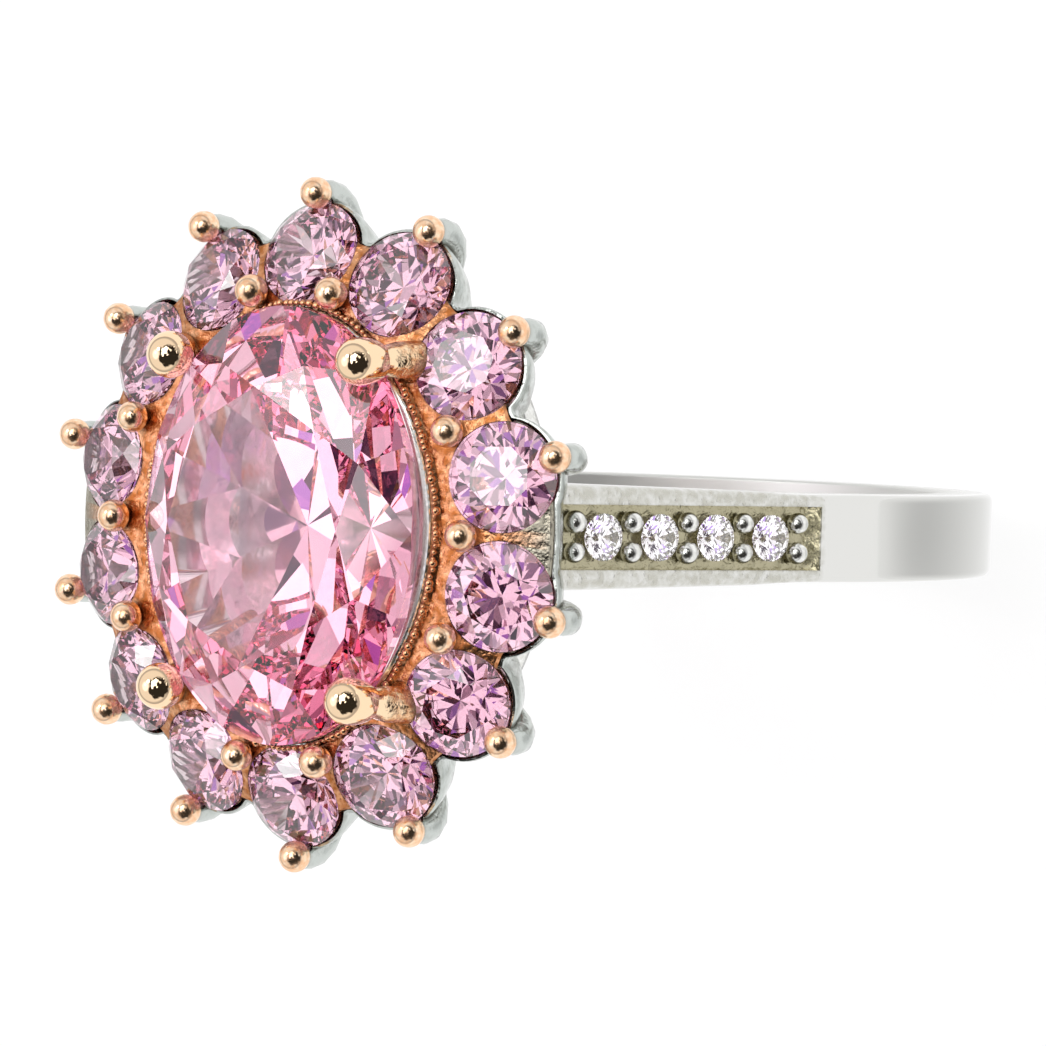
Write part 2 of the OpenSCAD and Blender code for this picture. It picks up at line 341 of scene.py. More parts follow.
def mesh_from(name: str, points: list, faces: list) -> bpy.types.Mesh:
    """Make a mesh from points in millimetres.

    Args:
        name: the mesh's name.
        points: points in millimetres.
        faces: faces as point numbers, facing outwards.

    Returns:
        The mesh, in metres.
    """
    mesh = bpy.data.meshes.new(name)
    mesh.from_pydata([tuple(float(c) * MM for c in p) for p in points], [], faces)
    mesh.update()
    return mesh


def loop_faces(sections: int, ring: int, closed: bool) -> list[Face]:
    """Faces of a skin through a row of like rings.

    Args:
        sections: number of rings.
        ring: points in each ring.
        closed: True if the last ring joins the first.

    Returns:
        The quads, facing outwards where the rings run anticlockwise seen against the path.
    """
    faces = []
    for i in range(sections if closed else sections - 1):
        after = (i + 1) % sections
        for j in range(ring):
            up = (j + 1) % ring
            faces.append((i * ring + j, i * ring + up, after * ring + up, after * ring + j))
    return faces


def sharpen(mesh: bpy.types.Mesh, degrees: float) -> None:
    """Mark edges sharper than an angle, so that smooth shading stops there.

    Args:
        mesh: the mesh to mark.
        degrees: the smallest angle that counts as an edge.
    """
    shape = bmesh.new()
    shape.from_mesh(mesh)
    limit = math.radians(degrees)
    for edge in shape.edges:
        edge.smooth = not (len(edge.link_faces) == 2 and edge.calc_face_angle(0.0) > limit)
    shape.to_mesh(mesh)
    shape.free()


def facing_out(mesh: bpy.types.Mesh) -> bpy.types.Mesh:
    """Turn all faces of a closed mesh outwards.

    Args:
        mesh: the mesh to turn.

    Returns:
        The same mesh.
    """
    shape = bmesh.new()
    shape.from_mesh(mesh)
    bmesh.ops.remove_doubles(shape, verts=shape.verts, dist=1e-7)
    bmesh.ops.recalc_face_normals(shape, faces=shape.faces)
    shape.to_mesh(mesh)
    shape.free()
    return mesh


def set_mark(mesh: bpy.types.Mesh, values: np.ndarray, name: str = "rough") -> None:
    """Store how strong a mark is at each point: of the casting, of the plate, or of painted shade.

    Args:
        mesh: the mesh to mark.
        values: one number from 0 to 1 for each point.
        name: "rough" for grain and the painted shade in corners, "sunk" for the painted shade on the floor of
            a channel, "bare" where the rose plate stops, or "satin" where the plate was only tumbled.
    """
    layer = mesh.attributes.new(name, "FLOAT", "POINT")
    layer.data.foreach_set("value", np.asarray(values, dtype=np.float32))


def points_of(mesh: bpy.types.Mesh) -> np.ndarray:
    """The mesh's points in millimetres, one row each."""
    flat = np.empty(len(mesh.vertices) * 3, dtype=np.float32)
    mesh.vertices.foreach_get("co", flat)
    return flat.reshape(-1, 3) / MM


def tube(stations: list, sides: int) -> tuple[list, list]:
    """A round solid that follows stations, closed at both ends.

    Args:
        stations: (point, radius) pairs in millimetres.
        sides: points round each ring.

    Returns:
        Points and faces.
    """
    centres = [np.asarray(p, float) for p, _ in stations]
    run = centres[-1] - centres[0]
    across = np.array([-run[1], run[0], 0.0])
    if np.linalg.norm(across) < 1e-6:
        across = np.array([0.0, 1.0, 0.0])
    points = []
    last = len(centres) - 1
    for k, (centre, (_, radius)) in enumerate(zip(centres, stations)):
        along = centres[min(k + 1, last)] - centres[max(k - 1, 0)]
        along /= np.linalg.norm(along)
        first = across - along * along.dot(across)
        first /= np.linalg.norm(first)
        second = np.cross(along, first)
        for j in range(sides):
            turn = math.tau * j / sides
            points.append(centre + (first * math.cos(turn) + second * math.sin(turn)) * radius)
    faces = loop_faces(len(centres), sides, False)
    faces.append(tuple(range(sides - 1, -1, -1)))
    faces.append(tuple(last * sides + j for j in range(sides)))
    return points, faces


def joined(parts: list[tuple[list, list]]) -> tuple[list, list]:
    """Put several solids into one list of points and faces.

    Args:
        parts: (points, faces) pairs.

    Returns:
        All points and all faces, renumbered.
    """
    points: list = []
    faces: list = []
    for more_points, more_faces in parts:
        start = len(points)
        points.extend(more_points)
        faces.extend(tuple(start + i for i in face) for face in more_faces)
    return points, faces


def ball_end(start: np.ndarray, tip: np.ndarray, radius: float, long: float = 1.0, rings: int = 12) -> list:
    """Stations of a round or drawn-out ball at the end of a stem.

    Args:
        start: where the stem comes from.
        tip: centre of the ball.
        radius: its radius.
        long: how much longer than round its inner half is.
        rings: how many stations the ball has.

    Returns:
        The stations, ending almost in a point.
    """
    along = (tip - start) / np.linalg.norm(tip - start)
    stations = []
    for turn in np.radians(np.linspace(40, 179, rings)):
        reach = -radius * math.cos(turn) * (long if turn < math.pi / 2 else 1.0)
        stations.append((tip + along * reach, radius * math.sin(turn)))
    return stations


def dome(name: str, radius: float, sides: int, rings: int = 12) -> bpy.types.Mesh:
    """A bead that stands on its stem, about its own middle, with Z up.

    Args:
        name: the mesh's name.
        radius: its radius.
        sides: points round it.
        rings: stations along it.

    Returns:
        The mesh.
    """
    below = np.array([0, 0, -1.0])
    return mesh_from(name, *tube(ball_end(below, np.zeros(3), radius, rings=rings), sides))


def cut(target: bpy.types.Mesh, cutter: bpy.types.Mesh) -> bpy.types.Mesh:
    """Take one solid away from another.

    Args:
        target: the mesh that is cut.
        cutter: the mesh that is taken away.

    Returns:
        The cut mesh.
    """
    body = bpy.data.objects.new("cut_body", target)
    tool = bpy.data.objects.new("cut_tool", cutter)
    for thing in (body, tool):
        bpy.context.scene.collection.objects.link(thing)
    step = body.modifiers.new("cut", "BOOLEAN")
    step.operation = "DIFFERENCE"
    step.solver = "EXACT"
    step.object = tool
    result = bpy.data.meshes.new_from_object(body.evaluated_get(bpy.context.evaluated_depsgraph_get()))
    for thing in (body, tool):
        bpy.data.objects.remove(thing)
    return result


class BeadSetter:
    """Sets one small shape at many places with a Geometry Nodes tree."""

    def __init__(self) -> None:
        """Build the tree once."""
        tree = bpy.data.node_groups.new("Set beads", "GeometryNodeTree")
        tree.is_modifier = True
        face = tree.interface
        face.new_socket("Geometry", in_out="INPUT", socket_type="NodeSocketGeometry")
        self.shape_id = face.new_socket("Shape", in_out="INPUT", socket_type="NodeSocketObject").identifier
        finish = face.new_socket("Finish", in_out="INPUT", socket_type="NodeSocketMaterial")
        self.finish_id = finish.identifier
        spread = face.new_socket("Size spread", in_out="INPUT", socket_type="NodeSocketFloat")
        self.spread_id = spread.identifier
        face.new_socket("Geometry", in_out="OUTPUT", socket_type="NodeSocketGeometry")
        start = add_node(tree, "NodeGroupInput")
        shape = add_node(tree, "GeometryNodeObjectInfo", {"Object": start.outputs["Shape"]})
        turn = add_node(tree, "GeometryNodeInputNamedAttribute", {"Name": "turn"}, data_type="FLOAT_VECTOR")
        size = add_node(tree, "GeometryNodeInputNamedAttribute", {"Name": "size"}, data_type="FLOAT")
        low, high = (
            add_node(tree, "ShaderNodeMath", {0: 1.0, 1: start.outputs["Size spread"]}, operation=step)
            for step in ("SUBTRACT", "ADD")
        )
        chance = add_node(tree, "FunctionNodeRandomValue", {"Seed": 7}, data_type="FLOAT")
        # the float sockets of Random Value share their names with the vector ones
        for name, limit in (("Min", low), ("Max", high)):
            socket = next(s for s in chance.inputs if s.name == name and s.type == "VALUE" and s.enabled)
            tree.links.new(limit.outputs[0], socket)
        drawn = next(s for s in chance.outputs if s.type == "VALUE" and s.enabled)
        scale = add_node(
            tree, "ShaderNodeMath", {0: size.outputs["Attribute"], 1: drawn}, operation="MULTIPLY"
        )
        spin = add_node(tree, "FunctionNodeEulerToRotation", {"Euler": turn.outputs["Attribute"]})
        placed = add_node(
            tree,
            "GeometryNodeInstanceOnPoints",
            {
                "Points": start.outputs["Geometry"],
                "Instance": shape.outputs["Geometry"],
                "Rotation": spin,
                "Scale": scale,
            },
        )
        real = add_node(tree, "GeometryNodeRealizeInstances", {"Geometry": placed})
        dressed = add_node(
            tree, "GeometryNodeSetMaterial", {"Geometry": real, "Material": start.outputs["Finish"]}
        )
        add_node(tree, "NodeGroupOutput", {"Geometry": dressed})
        self.tree = tree

    def set(
        self,
        name: str,
        places: list[tuple[np.ndarray, Matrix, float]],
        shape: bpy.types.Mesh,
        finish: bpy.types.Material,
        spread: float = 0.0,
    ) -> bpy.types.Object:
        """Set the shape at every place.

        Args:
            name: the new piece's name.
            places: (point in millimetres, turning matrix, scale) for each bead.
            shape: the mesh to repeat, in metres about its own origin.
            finish: its material.
            spread: how much the sizes differ, as a share.

        Returns:
            The beads as one plain mesh object.
        """
        points = bpy.data.meshes.new(name + "_points")
        points.from_pydata([tuple(p * MM) for p, _, _ in places], [], [])
        turn = points.attributes.new("turn", "FLOAT_VECTOR", "POINT")
        turn.data.foreach_set("vector", [c for _, m, _ in places for c in m.to_euler()])
        size = points.attributes.new("size", "FLOAT", "POINT")
        size.data.foreach_set("value", [s for _, _, s in places])
        holder = bpy.data.objects.new(name + "_points", points)
        pattern = bpy.data.objects.new(name + "_shape", shape)
        for thing in (holder, pattern):
            bpy.context.scene.collection.objects.link(thing)
        step = holder.modifiers.new("set", "NODES")
        step.node_group = self.tree
        step[self.shape_id] = pattern
        step[self.finish_id] = finish
        step[self.spread_id] = spread
        mesh = bpy.data.meshes.new_from_object(holder.evaluated_get(bpy.context.evaluated_depsgraph_get()))
        for thing in (holder, pattern):
            bpy.data.objects.remove(thing)
        return finished(name, mesh, finish, True)


def hand_in(piece: bpy.types.Object, slot: Slot, *nodes: str) -> None:
    """Tie a finished piece to the frame.

    Args:
        piece: the finished piece.
        slot: the material slot of the part's record that matches its finish; not used.
        nodes: the CAD nodes that it stands for.
    """
    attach(piece, "root")
    if nodes:
        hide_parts(*nodes)
    log.info("%s: %d faces, stands for %s", piece.name, len(piece.data.polygons), ", ".join(nodes))


# ---------------------------------------------------------------- stones


@dataclass
class Brilliant:
    """A brilliant cut worked out from its proportions, for a stone of radius 1.

    Attributes:
        table: table radius.
        crown: height of the crown above the girdle.
        girdle: thickness of the girdle at its points.
        pavilion: depth of the pavilion below the girdle.
        star: how far the star facets reach from table to girdle.
        lower: radius where the lower girdle facets meet.
        arc: points along the edge of each girdle facet.
    """

    table: float = 0.57
    crown: float = 0.31
    girdle: float = 0.06
    pavilion: float = 0.86
    star: float = 0.5
    lower: float = 0.25
    arc: int = 4

    def shape(self) -> tuple[list, list]:
        """Work out the stone about its girdle's middle.

        Returns:
            Points and flat faces.
        """
        half = self.girdle / 2
        eighth = math.pi / 8
        star_r = self.table * math.cos(eighth) * (1 - self.star) + self.star
        crown_slope = (half - (half + self.crown)) / (1 - self.table)
        star_z = half + self.crown + (star_r * math.cos(eighth) - self.table) * crown_slope
        lower_z = -half - self.pavilion * (1 - self.lower * math.cos(eighth))
        points: list[Point] = []
        faces: list[Face] = []

        def at(radius: float, turn: float, z: float) -> int:
            points.append((radius * math.cos(turn), radius * math.sin(turn), z))
            return len(points) - 1

        table = [at(self.table, 2 * k * eighth, half + self.crown) for k in range(8)]
        stars = [at(star_r, (2 * k + 1) * eighth, star_z) for k in range(8)]
        lowers = [at(self.lower, (2 * k + 1) * eighth, lower_z) for k in range(8)]
        culet = at(0.0, 0.0, -half - self.pavilion)
        rim: dict[bool, list[int]] = {True: [], False: []}
        for crown_side in (True, False):
            sign = 1 if crown_side else -1
            for k in range(16):
                inner = points[(stars if crown_side else lowers)[(k // 2) % 8]]
                ends = [(math.cos(j * eighth), math.sin(j * eighth), sign * half) for j in (k, k + 1)]
                a, b, c = (np.array(p) for p in (inner, *ends))
                normal = np.cross(b - a, c - a)
                for step in range(self.arc):
                    turn = (k + step / self.arc) * eighth
                    x, y = math.cos(turn), math.sin(turn)
                    z = a[2] - (normal[0] * (x - a[0]) + normal[1] * (y - a[1])) / normal[2]
                    rim[crown_side].append(at(1.0, turn, z))
        whole = 16 * self.arc
        faces.append(tuple(table))
        for k in range(8):
            after = (k + 1) % 8
            faces.append((table[k], stars[k], table[after]))
            faces.append((table[k], stars[k - 1], rim[True][2 * k * self.arc], stars[k]))
            faces.append((culet, lowers[k], rim[False][2 * k * self.arc], lowers[k - 1]))
        for k in range(16):
            top, bottom = stars[k // 2], lowers[k // 2]
            arc = [(k * self.arc + step) % whole for step in range(self.arc + 1)]
            faces.append((top, *[rim[True][j] for j in arc]))
            faces.append((bottom, *[rim[False][j] for j in reversed(arc)]))
        for j in range(whole):
            after = (j + 1) % whole
            faces.append((rim[True][j], rim[False][j], rim[False][after], rim[True][after]))
        return points, faces

    def cut(self, name: str, place: Matrix, size: Point) -> bpy.types.Mesh:
        """Cut the stone and put it in place.

        Args:
            name: the mesh's name.
            place: turning and middle of the girdle, in millimetres.
            size: radius along its own X and Y and scale along Z, in millimetres.

        Returns:
            The mesh, in metres in the ring's frame.
        """
        points, faces = self.shape()
        moved = [place @ Vector((x * size[0], y * size[1], z * size[2])) for x, y, z in points]
        return facing_out(mesh_from(name, moved, faces))


# ---------------------------------------------------------------- the line of the halo


@dataclass
class HaloLine:
    """The oval that the halo stones follow, measured by arc length.

    Attributes:
        a: half axis across the finger.
        b: half axis along the finger.
        z: height of the stones' girdles.
        tilt: outward tilt of the stones in degrees.
        count: number of stones.
    """

    a: float = 6.9
    b: float = 7.46
    z: float = 15.64
    tilt: float = 21.8
    count: int = 14
    _turns: np.ndarray = field(init=False, repr=False)
    _shares: np.ndarray = field(init=False, repr=False)

    def __post_init__(self) -> None:
        """Work out the arc length table."""
        self._turns = np.linspace(0, math.tau, 1441)
        x, y = self.a * np.cos(self._turns), self.b * np.sin(self._turns)
        run = np.concatenate([[0], np.cumsum(np.hypot(np.diff(x), np.diff(y)))])
        self._shares = run / run[-1]

    def turn(self, share: float) -> float:
        """The oval's parameter at a share of the way round."""
        return float(np.interp(share % 1.0, self._shares, self._turns))

    def stone(self, number: float) -> float:
        """The share of the way round at which a stone sits, stone 1 being on +Y."""
        return 0.25 - (number - 1) / self.count

    def outward(self, share: float) -> np.ndarray:
        """The level unit direction straight out from the oval."""
        t = self.turn(share)
        n = np.array([math.cos(t) / self.a, math.sin(t) / self.b, 0.0])
        return n / np.linalg.norm(n)

    def point(self, share: float, out: float, up: float) -> np.ndarray:
        """A point beside the line.

        Args:
            share: how far round.
            out: distance outwards along the tilt.
            up: distance square to the tilt.

        Returns:
            The point in millimetres.
        """
        t = self.turn(share)
        lean = math.radians(self.tilt)
        level = out * math.cos(lean) + up * math.sin(lean)
        rise = -out * math.sin(lean) + up * math.cos(lean)
        base = np.array([self.a * math.cos(t), self.b * math.sin(t), self.z])
        return base + self.outward(share) * level + UP * rise

    def wall(self, share: float, a: float, b: float, z: float) -> np.ndarray:
        """A point on another upright oval, in line with the same place on the halo."""
        t = self.turn(share)
        x, y = self.a * math.cos(t), self.b * math.sin(t)
        scale = 1 / math.hypot(x / a, y / b)
        return np.array([x * scale, y * scale, z])

    def frame(self, share: float) -> Matrix:
        """The turning matrix whose X points outwards along the tilt and Z up square to it."""
        n = self.outward(share)
        lean = math.radians(self.tilt)
        x = n * math.cos(lean) - UP * math.sin(lean)
        z = n * math.sin(lean) + UP * math.cos(lean)
        y = np.cross(z, x)
        return Matrix((x, y, z)).transposed()

    def scallop(self, share: float, radius: float, low: float, web: float) -> float:
        """Reach of a round scallop about each stone.

        Args:
            share: how far round.
            radius: radius of each scallop.
            low: the least reach, between two stones.
            web: the least reach in the two gaps over the shoulders.

        Returns:
            The reach in millimetres.
        """
        turn = (share - 0.25) * self.count
        across = abs(turn - round(turn)) * 3.22
        least = web if abs(share * 2 - round(share * 2)) < 1 / self.count else low
        return math.sqrt(max(radius**2 - across**2, least**2))


# ---------------------------------------------------------------- sub-assemblies


@dataclass
class Shank:
    """The finger ring with its two shoulders.

    Attributes:
        bore: radius of the finger hole.
        outer: outer radius of the band.
        width: width where the shoulders leave the band.
        tip_width: width where the shoulders meet the head.
        base_width: width opposite the head.
        edge: rounding of the outer edges.
        bore_edge: rounding of the edges of the finger hole.
        lean: angle at which the shoulder leaves the band.
        top: height of the shoulder tops.
        ledge: height of the ledge inside each shoulder, which the gallery rail rests on.
        lip: thickness of a shoulder above its ledge.
        thick: thickness of a shoulder at its ledge.
        meet: angle at which the inside of a shoulder runs into the band.
        channel_half: half width of the stone channel.
        channel_depth: its depth.
        pitch: spacing of the accent stones.
        first: where the lowest bead pair sits, measured up the shoulder.
        stones: accent stones on each shoulder.
        stone: radius of an accent stone.
        bead: radius of a channel bead.
        bead_row: how far the bead rows stand from the middle.
    """

    bore: float = 9.27
    outer: float = 10.83
    width: float = 2.46
    tip_width: float = 2.94
    base_width: float = 2.33
    edge: float = 0.22
    bore_edge: float = 0.1
    lean: float = 16.8
    top: float = 13.9
    ledge: float = 13.25
    lip: float = 0.35
    thick: float = 1.1
    meet: float = 43.5
    channel_half: float = 0.89
    channel_depth: float = 0.38
    pitch: float = 1.98
    first: float = 2.38
    stones: int = 4
    stone: float = 0.65
    bead: float = 0.31
    bead_row: float = 0.41

    def on_shoulder(self, side: Side, up: float, across: float, out: float) -> np.ndarray:
        """A point on a shoulder.

        Args:
            side: which shoulder.
            up: distance up the outer line from where it leaves the band.
            across: distance from the middle, along the finger.
            out: distance outwards from the outer face.

        Returns:
            The point in millimetres.
        """
        a = math.radians(self.lean)
        x = (self.outer + out) * math.cos(a) - up * math.sin(a)
        z = (self.outer + out) * math.sin(a) + up * math.cos(a)
        return np.array([side.value * x, across, z])

    def frame(self, side: Side) -> Matrix:
        """The turning matrix whose Z points out of the shoulder's face."""
        a = math.radians(self.lean)
        z = np.array([side.value * math.cos(a), 0.0, math.sin(a)])
        y = np.array([0.0, 1.0, 0.0])
        return Matrix((np.cross(y, z), y, z)).transposed()

    def half_outline(self) -> list[tuple[float, float]]:
        """The right half of the side outline, from the bottom up and back to the top of the bridge."""
        a0 = math.radians(self.lean)
        line = [
            (self.outer * math.cos(t), self.outer * math.sin(t))
            for t in np.linspace(-math.pi / 2, a0, 120)
        ]
        rise = (self.top - line[-1][1]) / math.cos(a0)
        foot = line[-1]
        for share in np.linspace(0, 1, 30)[1:]:
            line.append((foot[0] - rise * share * math.sin(a0), foot[1] + rise * share * math.cos(a0)))
        tip = line[-1]
        inner = [
            (tip[0] - self.lip, self.top),
            (tip[0] - self.lip, self.ledge),
            (tip[0] - self.thick, self.ledge),
        ]
        meet = math.radians(self.meet)
        end = (self.outer * math.cos(meet), self.outer * math.sin(meet))
        start = inner[-1]
        for share in np.linspace(0, 1, 20)[1:]:
            # a soft hollow where the shoulder runs into the band
            pull = math.sin(share * math.pi) * 0.25
            x, z = (start[axis] + (end[axis] - start[axis]) * share for axis in (0, 1))
            inner.append((x + pull, z))
        bridge = [
            (self.outer * math.cos(t), self.outer * math.sin(t))
            for t in np.linspace(meet, math.pi / 2, 40)[1:]
        ]
        return line + inner + bridge

    def solid(self) -> bpy.types.Mesh:
        """Build the shank as a rounded slab between its outline and the bore.

        Returns:
            The mesh before the channels are cut.
        """
        right = self.half_outline()
        left = [(-x, z) for x, z in reversed(right[1:-1])]
        outline = np.array(right + left)
        ahead = np.roll(outline, -1, axis=0) - outline
        behind = outline - np.roll(outline, 1, axis=0)
        tangent = sum(run / np.linalg.norm(run, axis=1)[:, None] for run in (ahead, behind))
        tangent /= np.linalg.norm(tangent, axis=1)[:, None]
        inward = np.stack([-tangent[:, 1], tangent[:, 0]], axis=1)
        turns = np.linspace(0, math.tau, 240, endpoint=False)
        bore = np.stack([np.cos(turns), np.sin(turns)], axis=1) * self.bore
        points: list = []
        faces: list = []
        foot = self.outer * math.sin(math.radians(self.lean))

        def ring_of(flat: np.ndarray, shrink: float) -> list[int]:
            """Add one loop of points, set in from the side face by the size of shrink."""
            start = len(points)
            for x, z in flat:
                low = min(max((foot - z) / (2 * self.outer), 0.0), 1.0)
                high = min(max((z - foot) / (self.top - foot), 0.0), 1.0)
                high *= min(max((math.hypot(x, z) - self.outer) / 0.5, 0.0), 1.0)
                wide = self.width
                wide -= (self.width - self.base_width) * low
                wide += (self.tip_width - self.width) * high
                points.append((x, math.copysign(wide / 2 - abs(shrink), shrink), z))
            return list(range(start, len(points)))

        steps = np.linspace(0, math.pi / 2, 6)
        rounds: list[list] = []
        for loop, inwards, soft in ((outline, inward, self.edge), (bore, bore / self.bore, self.bore_edge)):
            rounds.append([])
            for sign in (-1, 1):
                for t in steps if sign < 0 else steps[::-1]:
                    moved = loop + inwards * (soft * (1 - math.sin(t)))
                    rounds[-1].append(ring_of(moved, sign * (soft * (1 - math.cos(t)) + 1e-9)))
        outer_rings, bore_rings = rounds
        for rings, flip in ((outer_rings, False), (bore_rings, True)):
            for low, high in zip(rings, rings[1:]):
                count = len(low)
                for j in range(count):
                    after = (j + 1) % count
                    quad = (low[j], high[j], high[after], low[after])
                    faces.append(quad if flip else quad[::-1])
        for index in (0, -1):
            outer_loop, bore_loop = outer_rings[index], bore_rings[index]
            loops = [
                [Vector((points[i][0], points[i][2], 0)) for i in outer_loop],
                [Vector((points[i][0], points[i][2], 0)) for i in bore_loop],
            ]
            numbers = outer_loop + bore_loop
            for tri in tessellate_polygon(loops):
                faces.append(tuple(numbers[i] for i in tri))
        return facing_out(mesh_from("shank", points, faces))

    def channel_cutter(self, side: Side) -> tuple[list, list]:
        """The block that is cut from a shoulder for its stones.

        Args:
            side: which shoulder.

        Returns:
            Points and faces of the block.
        """
        low = self.first - 0.76
        high = self.first + self.stones * self.pitch + 0.65
        # the lower end of the channel slopes up to the face
        outline = [
            (high, -self.channel_depth),
            (low + 0.3, -self.channel_depth),
            (low + 0.02, -0.06),
            (low, 0.0),
            (low, 1.0),
            (high, 1.0),
        ]
        points = [
            self.on_shoulder(side, up, across, out)
            for across in (-self.channel_half, self.channel_half)
            for up, out in outline
        ]
        n = len(outline)
        faces = loop_faces(2, n, False)
        faces += [tuple(range(n - 1, -1, -1)), tuple(range(n, 2 * n))]
        return points, faces

    def seats(self) -> list[tuple[list, list]]:
        """The cones that are cut under the accent stones.

        Returns:
            Points and faces of each cone.
        """
        cones = []
        for side in Side:
            for k in range(self.stones):
                up = self.first + (k + 0.5) * self.pitch
                bottom, mouth = (self.on_shoulder(side, up, 0.0, out) for out in (-0.76, -0.2))
                cones.append(tube([(bottom, 0.12), (mouth, 0.6)], 24))
        return cones

    def build(self, looks: Finishes, beads: BeadSetter) -> None:
        """Build and dress the shank, its beads and its accent stones.

        Args:
            looks: the finishes.
            beads: sets the small beads.
        """
        # one cut after the other, because cutters that overlap leave metal behind
        mesh = self.solid()
        channels = [self.channel_cutter(side) for side in Side]
        for name, solids in (("channels", channels), ("seats", self.seats())):
            mesh = cut(mesh, facing_out(mesh_from(name, *joined(solids))))
        co = points_of(mesh)
        a = math.radians(self.lean)
        up = -np.abs(co[:, 0]) * math.sin(a) + co[:, 2] * math.cos(a)
        out = np.abs(co[:, 0]) * math.cos(a) + co[:, 2] * math.sin(a) - self.outer
        face = np.clip((out + 0.2) / 0.15, 0, 1)
        face[(np.abs(co[:, 1]) < self.channel_half + 0.02) & (out > -1)] = 1
        near = np.clip((up - 1.2) / 0.5, 0, 1) * face
        set_mark(mesh, near)
        # the floor of the channel is marked for painted shade
        deep = (out < -0.04) & (np.abs(co[:, 1]) < self.channel_half + 0.02) & (near > 0.5)
        set_mark(mesh, deep.astype(float), "sunk")
        inside = np.hypot(co[:, 0], co[:, 2]) < self.bore + 0.12
        set_mark(mesh, inside.astype(float), "satin")
        sharpen(mesh, 30)
        piece = finished("shank", mesh, looks.rhodium_cast, True)
        hand_in(piece, Slot.WHITE, "shank")
        bead = dome("bead", self.bead, 20)
        for side in Side:
            word = side.name.lower()
            places = []
            for k in range(self.stones + 1):
                for row in (-1, 1):
                    point = self.on_shoulder(side, self.first + k * self.pitch, row * self.bead_row, -0.14)
                    places.append((point, self.frame(side), 1.0))
            piece = beads.set(f"channel_beads_{word}", places, bead.copy(), looks.rhodium, 0.05)
            hand_in(piece, Slot.WHITE, f"channel_beads_{word}")
            for k in range(self.stones):
                point = self.on_shoulder(side, self.first + (k + 0.5) * self.pitch, 0.0, -0.12)
                place = Matrix.Translation(point) @ self.frame(side).to_4x4()
                name = f"accent_{word}_{k + 1}"
                stone = Brilliant(arc=2).cut(name, place, (self.stone, self.stone, self.stone))
                hand_in(finished(name, stone, looks.clear, False), Slot.CLEAR, name)


